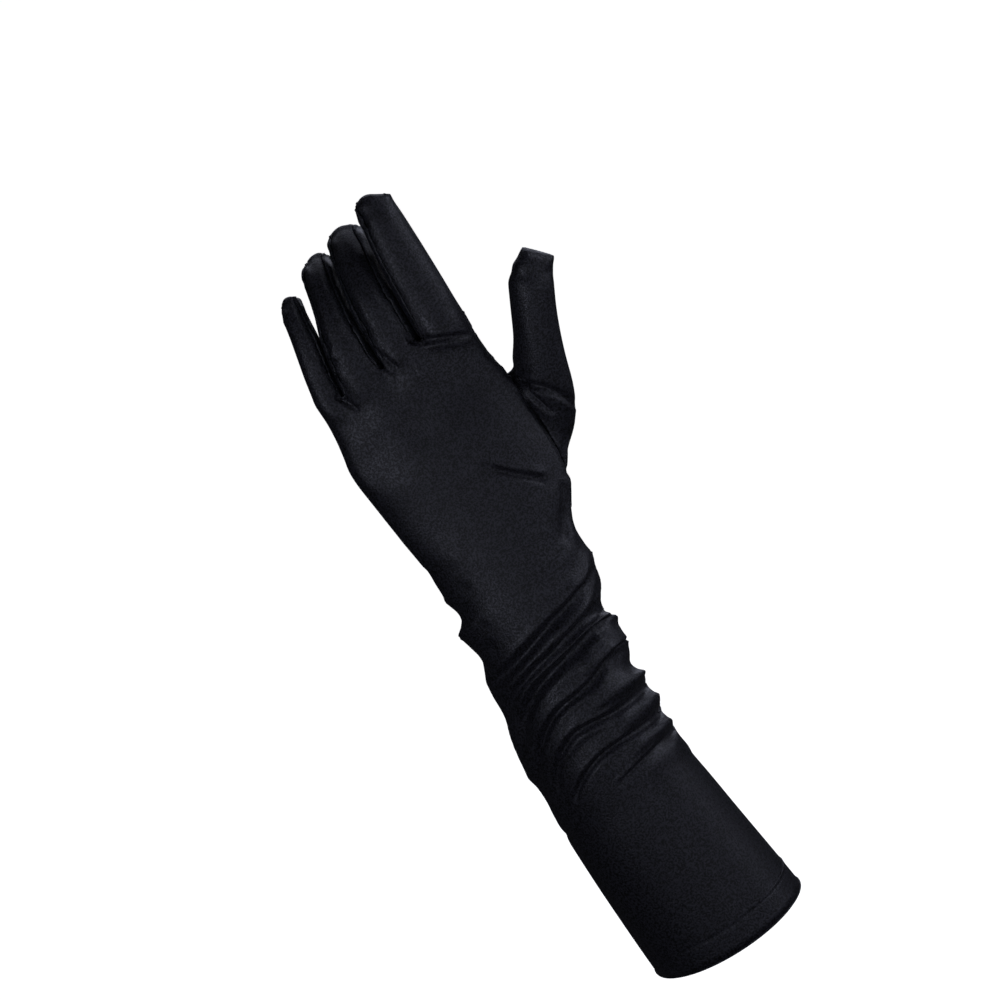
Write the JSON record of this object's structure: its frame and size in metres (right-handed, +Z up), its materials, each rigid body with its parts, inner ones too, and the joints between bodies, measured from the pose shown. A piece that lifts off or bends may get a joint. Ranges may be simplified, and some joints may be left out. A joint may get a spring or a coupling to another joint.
{
  "type": "long dress glove",
  "caption": "Long left dress glove of stretch satin in its worn form, with a gathered sleeve, a set-in thumb, side strips between the fingers and a turned hem.",
  "frame": {"origin": "middle of the cuff opening, level with the hem's edge", "axes": "+Z up the forearm towards the fingertips, -Y out of the back of the hand, +X towards the thumb"},
  "size_m": [0.1323, 0.0931, 0.3635],
  "materials": {
    "satin": "black stretch satin with a soft sheen and a fine grain"
  },
  "bodies": {
    "root": {"back_panel": "satin", "palm_panel": "satin", "thumb": "satin", "fourchette_little_ring": "satin", "fourchette_ring_middle": "satin", "fourchette_middle_index": "satin", "hem": "satin"}
  },
  "joints": []
}
